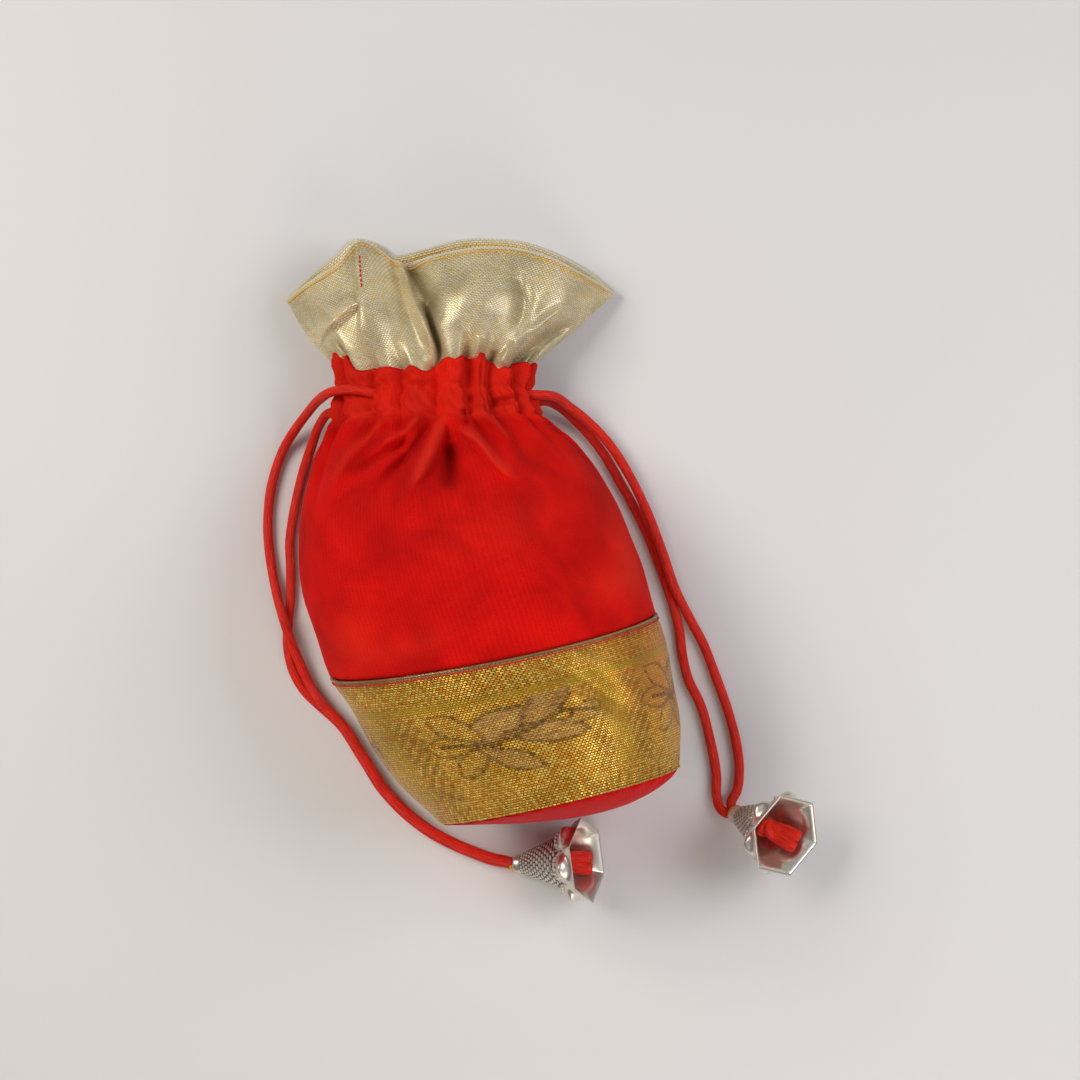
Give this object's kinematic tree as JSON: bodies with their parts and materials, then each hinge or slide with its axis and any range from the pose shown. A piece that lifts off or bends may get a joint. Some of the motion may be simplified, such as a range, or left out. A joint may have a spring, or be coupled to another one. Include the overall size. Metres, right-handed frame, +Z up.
{
  "type": "potli bag",
  "caption": "Drawstring gift pouch lying on its back: gathered cloth body, woven band, flared frill and bell caps on the cords.",
  "frame": {"origin": "on the ground, under the flat spot of the velvet that the bag lies on", "axes": "+Y from the base to the mouth, +X to the right seen from above, +Z up, away from the ground"},
  "size_m": [0.141, 0.231, 0.0736],
  "materials": {
    "velvet": "red velvet pile",
    "brocade": "gold zari brocade",
    "satin": "red satin weave",
    "tissue": "pale gold metallic tissue",
    "cord": "red satin drawstring cord",
    "silver": "silver plated casting"
  },
  "bodies": {
    "bag": {"velvet_body": "velvet", "brocade_band": "brocade", "satin_base": "satin", "frill": "tissue", "left_front_strand": "cord", "left_back_strand": "cord", "right_outer_strand": "cord", "right_inner_strand": "cord", "left_knot": "cord", "right_knot": "cord"},
    "left_bell": {"left_bell": "silver"},
    "right_bell": {"right_bell": "silver"}
  },
  "joints": [
    {"name": "left_bell_slide", "type": "slide", "parent": "bag", "child": "left_bell", "axis": [0.9669, -0.2411, 0.083], "range_m": [0, 0.006]},
    {"name": "right_bell_slide", "type": "slide", "parent": "bag", "child": "right_bell", "axis": [0.6252, -0.583, 0.5189], "range_m": [0, 0.006]}
  ]
}
